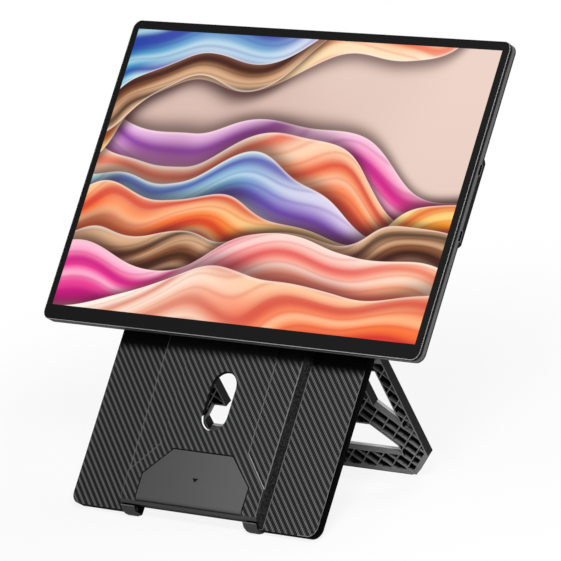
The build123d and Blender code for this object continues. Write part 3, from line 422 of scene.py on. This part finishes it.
rubber = Finish("shoe rubber", shade(56), 0.75, 0.1)
place, across, raise_, _ = rubber.spot()
speckle = rubber.grain(place, 0.6, 4.0)
tone = rubber.blend(speckle, shade(56), shade(72))
on_shoe = raise_.below(shoe_top + 0.1)
# Painted highlight along the shoe's upper edge.
tone = rubber.blend(on_shoe * raise_.above(shoe_top - shoe_highlight_width), tone, shade(112))
# Painted shade on the shoe's ends.
end = on_shoe * abs(abs(across) - shoe_middle).above(shoe_half - touch)
rubber.put("Base Color", rubber.blend(end, tone, shade(6)))
rubber.put("Roughness", speckle * 0.2 + 0.62)
rubber.bump(speckle, 0.03)
dress(rubber, "shoe_right", "shoe_left", "leg_pad")

# Truss leg.
# One flat satin black moulding with a diamond grid of ribs in its bars, on two pins under the
# brackets. Its cell walls, cell floors, sills, sides and rib faces carry painted light and
# shade.
open_angle = -joints["leg_fold"]["range_deg"][0]
leg_turn = plate_turn + radians(open_angle)
leg_half = 3.25
leg_skin = 0.05
cell_floor = -1.75
cell_shade = 1.5
brace_line = 38.8
foot_sill = 94.2
sill_width = 0.3
sill_split = -0.9
leg_up = Vector((0, -sin(leg_turn - pi / 2), cos(leg_turn - pi / 2)))

truss = Finish("leg moulding", shade(44), 0.45, 0.12)
place, across, up_leg, level = truss.spot(hinge, leg_turn)
fine = truss.grain(place, 0.5)
up_facing = truss.facing(leg_up)
lit_wall = up_facing.above(0.5)
tone = truss.blend(fine, shade(22), shade(34))
back = level.below(leg_skin - leg_half)
tone = truss.blend(back, tone, truss.blend(fine, shade(34), shade(46)))
# Painted light on the upward cell walls, fading into painted shade deeper in the cells.
cell_wall_shade = level.rise(cell_floor + cell_shade, leg_half)
tone = truss.blend(lit_wall, tone, truss.blend(cell_wall_shade, shade(20), shade(120)))
# Painted light on the cell floors.
tone = truss.blend(abs(level - cell_floor).below(leg_skin), tone, shade(78))
# Painted shade on the downward cell walls.
tone = truss.blend(up_facing.below(-0.5), tone, shade(6))
# Painted highlights on the sills of the brace and the foot bar, brighter on their back half.
sill_highlight = abs(abs(across) + up_leg - brace_line).below(sill_width)
sill_highlight = sill_highlight + abs(up_leg + foot_sill).below(sill_width)
sill_highlight_tone = truss.blend(level.above(sill_split), shade(240), shade(104))
tone = truss.blend(sill_highlight * lit_wall, tone, sill_highlight_tone)
# Painted shade on the leg's sides.
tone = truss.blend(abs(truss.facing((1, 0, 0))).above(0.9), tone, shade(18))
# Painted light on the front face of the ribs.
tone = truss.blend(level.above(leg_half - leg_skin), tone, shade(126))
truss.put("Base Color", tone)
truss.put("Roughness", fine * 0.14 + 0.38)
truss.bump(fine, 0.02)
dress(truss, "leg_frame")

# Hinge brackets.
# Steel lugs bent up from a screwed foot and coated in satin black powder, which has a very
# fine orange peel.
coat = moulded("black powder coat", 44, 56, 0.5, grain_size=0.9, gloss=0.35, depth=0.02)
dress(coat, "hinge_bracket_right", "hinge_bracket_left")

# Screws of the stand.
# Hexagon socket screws in black oxide, which is nearly matt and a little brown where it wears.
oxide = Finish("black oxide", shade(40), 0.45, metallic=0.6)
place, *_ = oxide.spot()
worn = oxide.grain(place, 0.8, 3.0)
oxide.put("Base Color", oxide.blend(worn, shade(52, 52, 54), shade(84, 80, 76)))
oxide.put("Roughness", worn * 0.25 + 0.35)
dress(oxide, "bracket_screws", "channel_screws", "mount_screws")

# Rear cover of the display.
# A thin moulded tray with a hump for the electronics, dark grey and satin with a fine
# spark-eroded grain. Its side walls carry painted shade with a painted highlight along their
# middle.
display_half = 178.75
display_half_height = 116.75
display_middle = 243.75
display_corner = 6.8
wall_middle = 24.0
wall_edges = (2.2, 0.8)
wall_light_fade = (-170.0, 60.0)

cover = Finish("satin cover", shade(62), 0.5, 0.08)
place, across, raise_, level = cover.spot()
fine = cover.grain(place, 0.3)
clouds = cover.grain(place, 40)
reach = rounded_reach(
    across, raise_, display_half, display_half_height, display_middle, display_corner
)
tone = cover.blend(fine * 0.5 + clouds * 0.5, shade(40), shade(56))
# Painted highlight along the middle of the side walls, fading towards the left, over painted
# shade.
wall_light = abs(level - wall_middle).rise(*wall_edges)
wall_light = wall_light * across.rise(*wall_light_fade).between(0.15, 1.0)
wall_tone = cover.blend(wall_light, shade(12), shade(92))
cover.put("Base Color", cover.blend(reach.above(-0.3), tone, wall_tone))
cover.put("Roughness", fine * 0.16 + 0.42)
cover.bump(fine, 0.02)
dress(cover, "rear_cover")

# Screw inserts, boards, ribbons and speakers inside the cover.
# Knurled brass is pressed into the bosses, the boards are green laminate over fine tracks, the
# ribbons are amber film with copper tracks, and the speakers are closed black boxes.
brass = Finish("insert brass", shade(200, 165, 90), 0.3, metallic=1.0)
_, across, raise_, _ = brass.spot()
knurl_pitch = 0.4
knurl = ((across + raise_) / knurl_pitch).math("FRACT").rise(0.3, 0.7)
brass.put("Base Color", brass.blend(knurl, shade(170, 135, 65), shade(215, 180, 105)))
brass.bump(knurl, 0.05)
dress(brass, "mount_inserts")

laminate = Finish("green laminate", shade(20, 75, 50), 0.35)
place, _, raise_, _ = laminate.spot()
track_pitch = 1.27
track = (raise_ / track_pitch).math("FRACT").below(0.3) * laminate.grain(place, 6.0).above(0.5)
laminate.put("Base Color", laminate.blend(track, shade(18, 70, 46), shade(34, 104, 66)))
laminate.bump(track, 0.03)
dress(laminate, "main_board", "driver_board", "data_board", "key_board")

amber = Finish("amber film", shade(180, 105, 35), 0.25)
_, across, *_ = amber.spot()
copper_pitch = 0.8
copper = (across / copper_pitch).math("FRACT").below(0.5) * 0.6
amber.put("Base Color", amber.blend(copper, shade(190, 120, 45), shade(150, 72, 30)))
dress(amber, "panel_ribbon", "data_ribbon", "key_ribbon")

box_black = moulded("speaker box", 26, 36, 0.6, grain_size=0.7)
dress(box_black, "speaker_right", "speaker_left")
bright_screw = ground_steel("bright screw", 180, 0.35)
dress(bright_screw, "board_screws")

# Sockets on the two rails.
# Drawn steel shells with a black tongue inside, set flush in the cover's side, and a black
# plastic headphone jack.
shell_depth = 0.6

shell = Finish("drawn shell", shade(150), 0.28, metallic=1.0)
place, across, *_ = shell.spot()
drawn = shell.grain(place, 0.5, 3.0, (6, 1, 1))
# The black tongue, and painted shade on the shell's inside, more than shell_depth in from the
# side.
deep = abs(across).below(display_half - shell_depth)
shell.put("Base Color", shell.blend(deep, shell.blend(drawn, shade(120), shade(165)), shade(30)))
shell.put("Roughness", drawn * 0.2 + 0.2)
dress(shell, "data_port_upper", "data_port_lower", "video_port")
jack_plastic = moulded("jack plastic", 16, 24, 0.35, gloss=0.4)
dress(jack_plastic, "audio_jack")

# Keys and their switches.
# The power key and the volume rocker are satin black caps in a scoop of the left rail, over
# three tinned push switches.
key_cap = moulded("key cap", 24, 34, 0.4, grain_size=0.4, gloss=0.4)
dress(key_cap, "power_key", "volume_rocker")
tin = ground_steel("tinned switch", 200, 0.3)
dress(tin, "key_switches")

# Panel behind the glass.
# A folded steel tray holds a white reflector, an acrylic light guide with its lamp strip, a
# milky diffuser and the dark cell, stacked without air between them.
tray = ground_steel("tray sheet", 170, 0.35)
dress(tray, "panel_tray")


def sheet(name, low, high, roughness, size):
    """Thin sheet with a slight even cloud in its colour"""
    layer = Finish(name, shade(*low), roughness)
    place, *_ = layer.spot()
    layer.put("Base Color", layer.blend(layer.grain(place, size), shade(*low), shade(*high)))
    return layer


dress(sheet("white reflector", (232, 232, 232), (246, 246, 246), 0.3, 8.0), "reflector_sheet")
dress(sheet("light guide", (225, 232, 236), (242, 246, 248), 0.1, 20.0), "light_guide")
dress(sheet("milky diffuser", (222, 224, 228), (238, 239, 240), 0.8, 4.0), "diffuser_film")
dress(sheet("lamp strip", (214, 206, 150), (244, 240, 214), 0.4, 3.0), "led_strip")
dress(sheet("cell", (60, 62, 66), (72, 74, 80), 0.1, 30.0), "lcd_cell")

# Cover glass with the lit picture.
# One sheet of glass with a black printed border. The lit area shows a picture of its own:
# bands of silk in coral, pink, brown and blue that roll over a dusty pink ground.
active_width = 344.6
active_height = 215.4
active_middle = 246.0
border_black = shade(20)
picture_glow = 1.0

glass = Finish("screen glass", border_black, 0.08, 0.04)
place, across, raise_, _ = glass.spot()
u = across / active_width
v = (raise_ - active_middle) / active_height
lit_area = abs(u).below(0.5) * abs(v).below(0.5)


def stops(value, *colours):
    """Colour from a row of (place, colour) stops"""
    ramp = glass.tree.nodes.new("ShaderNodeValToRGB")
    ramp.color_ramp.interpolation = "EASE"
    marks = ramp.color_ramp.elements
    while len(marks) < len(colours):
        marks.new(0.5)
    for mark, (position, colour) in zip(marks, colours):
        mark.position = position
        mark.color = colour
    feed(value, ramp.inputs["Fac"])
    return Number(glass.tree, ramp.outputs["Color"])


u = u + (glass.grain(place, 120.0, 0.0) - 0.5) * 0.7
v = v + (glass.grain(place, 90.0, 0.0) - 0.5) * 0.2


def wave(base, slope, swell, count, phase):
    """Crest line of a band across the picture"""
    return u * slope + base + (u * (2 * pi * count) + phase).math("SINE") * swell


def ridges(way, sharpness):
    """Lines that repeat along the way, 1 on each line and 0 between two"""
    return (way.math("SINE") * 0.5 + 0.5).math("POWER", sharpness)


def band(behind, dip, depth, near, far, folds):
    """Lay a band of silk over the picture, with its shadow, its folds and a lit crest.
    Its colours run from the crest down, and change from near to far across the picture."""
    shadow = dip.rise(-0.08, 0.0)
    behind = glass.blend(shadow * shadow * 0.7, behind, shade(70, 30, 34))
    fall = dip / depth
    side = u.rise(-0.45, 0.45)
    tint = glass.blend(side, stops(fall, *near), stops(fall, *far))
    pale = glass.blend(side, near[0][1], far[0][1])
    deep = glass.blend(side, near[-1][1], far[-1][1])
    roll = fall * folds + u * 9.0 + (u * 13.0 + v * 7.0).math("SINE") * 1.1
    trough = ridges(roll + 2.6, 3)
    sheen = ridges(roll, 5)
    crease = ridges(roll * 2.6 + u * 8.0, 6)
    tint = glass.blend(trough * 0.8, tint, deep)
    tint = glass.blend(sheen * 0.7, tint, pale)
    tint = glass.blend(crease * 0.3, tint, deep)
    tint = glass.blend(dip.rise(0.012, 0.0) * 0.6, tint, shade(255, 240, 230))
    return glass.blend(dip.rise(0.0, 0.003), behind, tint)


ground_light = u.rise(-0.5, 0.5) * 0.7 + v.rise(-0.5, 0.5) * 0.3
ground = glass.blend(ground_light, shade(200, 164, 154), shade(238, 212, 200))
lilac = [(0.0, shade(244, 200, 240)), (0.4, shade(214, 120, 214)), (1.0, shade(134, 50, 176))]
sky = [(0.0, shade(190, 240, 244)), (0.35, shade(40, 170, 206)), (1.0, shade(28, 66, 166))]
peach = [(0.0, shade(255, 232, 208)), (0.4, shade(255, 184, 140)), (1.0, shade(240, 100, 62))]
coral = [(0.0, shade(255, 198, 150)), (0.35, shade(255, 122, 60)), (1.0, shade(212, 40, 40))]
pink = [(0.0, shade(255, 196, 220)), (0.35, shade(252, 80, 160)), (1.0, shade(200, 0, 126))]
amber_silk = [(0.0, shade(255, 224, 140)), (0.4, shade(255, 160, 30)), (1.0, shade(228, 76, 14))]
brown = [(0.0, shade(226, 180, 142)), (0.4, shade(140, 86, 54)), (1.0, shade(42, 20, 12))]
cream = [(0.0, shade(255, 244, 232)), (0.5, shade(250, 206, 180)), (1.0, shade(226, 140, 116))]

picture = ground
for crest, depth, near, far, folds in (
    (wave(0.16, -0.30, 0.07, 0.9, 0.4), 0.30, lilac, pink, 11.25),
    (wave(0.06, -0.22, 0.09, 1.1, 1.5), 0.28, peach, coral, 15.0),
    (wave(-0.03, -0.12, 0.08, 1.3, 2.9), 0.22, sky, lilac, 12.5),
    (wave(-0.10, 0.02, 0.08, 1.2, 4.0), 0.26, coral, amber_silk, 16.25),
    (wave(-0.19, 0.12, 0.06, 1.5, 5.0), 0.20, brown, brown, 13.75),
    (wave(-0.27, 0.10, 0.05, 1.3, 0.6), 0.22, pink, peach, 12.5),
    (wave(-0.37, 0.14, 0.05, 1.1, 2.2), 0.24, cream, coral, 11.25),
):
    picture = band(picture, crest - v, depth, near, far, folds)
for crest, depth, near, far, folds in (
    (wave(0.34, 0.55, 0.05, 1.0, 2.0), 0.26, amber_silk, peach, 13.75),
    (wave(0.41, 0.62, 0.04, 1.2, 0.8), 0.22, brown, brown, 15.0),
    (wave(0.50, 0.70, 0.04, 1.1, 3.6), 0.20, sky, lilac, 10.0),
):
    picture = band(picture, v - crest, depth, near, far, folds)

glass.put("Base Color", glass.blend(lit_area, border_black, shade(6)))
glass.put("Emission Color", glass.blend(lit_area, shade(0), picture))
glass.put("Emission Strength", picture_glow)
dress(glass, "cover_glass")

# Front frame.
# A shallow moulded ring round the glass, satin black. The narrow bevel on its two sides and its
# foot carries a painted highlight, fainter on the right side.
screen_face = 28.4
frame_bevel = 0.45
bevel_end = 358.5
bevel_highlight_fade = (170.0, 178.0)

ring = Finish("frame ring", shade(26), 0.4, 0.06)
place, across, raise_, level = ring.spot()
bevel = level.above(screen_face - frame_bevel + touch) * level.below(screen_face - touch)
bevel = bevel * raise_.below(bevel_end)
brushed = ring.grain(place, 0.2, 2.0)
# Painted highlight on the bevel, fainter on the right side.
bevel_highlight_tone = ring.blend(across.rise(*bevel_highlight_fade), shade(160), shade(100))
bevel_highlight_tone = ring.blend(brushed * 0.15, bevel_highlight_tone, shade(190))
ring.put("Base Color", ring.blend(bevel, shade(10), bevel_highlight_tone))
ring.put("Roughness", brushed * 0.1 + 0.4)
dress(ring, "front_frame")

# Studio.
# A pale floor that keeps the object's shadow and clears to white, a white surround, a small soft
# lamp at the front right and a broad one high up behind.
floor_size = 8.0
floor_drop = 0.0002
floor_whiteness = 0.88
floor_fade = (0.2, 0.6)
surround_fill = 0.14

floor_mesh = bpy.data.meshes.new("floor")
shape = bmesh.new()
bmesh.ops.create_grid(shape, x_segments=8, y_segments=8, size=floor_size)
bmesh.ops.translate(shape, verts=shape.verts, vec=(0, 0, -floor_drop))
shape.to_mesh(floor_mesh)
shape.free()
floor = bpy.data.objects.new("floor", floor_mesh)
bpy.context.scene.collection.objects.link(floor)

paint = bpy.data.materials.new("floor paint")
paint.use_nodes = True
tree = paint.node_tree
tree.nodes.clear()
rays = tree.nodes.new("ShaderNodeLightPath")
found = tree.nodes.new("ShaderNodeTexCoord")
distance = tree.nodes.new("ShaderNodeVectorMath")
distance.operation = "LENGTH"
tree.links.new(found.outputs["Object"], distance.inputs[0])
clearing = Number(tree, distance.outputs["Value"]).rise(*floor_fade)
seen = Number(tree, rays.outputs["Is Camera Ray"])
seen = seen.math("MAXIMUM", Number(tree, rays.outputs["Is Glossy Ray"]))
matt = tree.nodes.new("ShaderNodeBsdfDiffuse")
matt.inputs["Color"].default_value = shade(214)
glow = tree.nodes.new("ShaderNodeEmission")
both = tree.nodes.new("ShaderNodeMixShader")
feed(seen * clearing.between(floor_whiteness, 1.0), both.inputs["Fac"])
surface = tree.nodes.new("ShaderNodeOutputMaterial")
tree.links.new(matt.outputs[0], both.inputs[1])
tree.links.new(glow.outputs[0], both.inputs[2])
tree.links.new(both.outputs[0], surface.inputs["Surface"])
floor_mesh.materials.append(paint)

world = bpy.data.worlds.new("surround")
bpy.context.scene.world = world
world.use_nodes = True
tree = world.node_tree
sky_light = tree.nodes["Background"]
sky_light.inputs["Color"].default_value = (1, 1, 1, 1)
rays = tree.nodes.new("ShaderNodeLightPath")
seen = Number(tree, rays.outputs["Is Camera Ray"])
for kind in ("Is Glossy Ray", "Is Transmission Ray"):
    seen = seen.math("MAXIMUM", Number(tree, rays.outputs[kind]))
feed(seen.between(surround_fill, 1.0), sky_light.inputs["Strength"])

for name, position, size, power in (
    ("front right", (0.6, -0.5, 0.75), 0.3, 11.5),
    ("behind", (0.1, 1.4, 1.7), 1.2, 24.0),
):
    lamp = bpy.data.lights.new(name, "AREA")
    lamp.shape = "DISK"
    lamp.size = size
    lamp.energy = power
    light = bpy.data.objects.new(name, lamp)
    light.location = position
    aim = Vector((0, 0, 0.15)) - light.location
    light.rotation_euler = aim.to_track_quat("-Z", "Y").to_euler()
    bpy.context.scene.collection.objects.link(light)

# Camera.
# It stands off to the front right and a little above, far away with a long lens, and is rolled
# slightly.
view_azimuth = radians(43.82)
view_elevation = radians(16.39)
view_roll = radians(-9.26)
view_shift = Vector((0, 0.0344, 0.03178))
view_distance = 3.593
view_lens = 325.35
view_film = 36.0

camera_data = bpy.data.cameras.new("camera")
camera_data.lens = view_lens
camera_data.sensor_width = view_film
camera = bpy.data.objects.new("camera", camera_data)
toward = Vector((
    sin(view_azimuth) * cos(view_elevation),
    -cos(view_azimuth) * cos(view_elevation),
    sin(view_elevation),
))
camera.location = hinge + view_shift + toward * view_distance
turn = toward.to_track_quat("Z", "Y") @ Quaternion((0, 0, 1), view_roll)
camera.rotation_euler = turn.to_euler()
bpy.context.scene.collection.objects.link(camera)
bpy.context.scene.camera = camera
bpy.context.scene.view_settings.view_transform = "Standard"
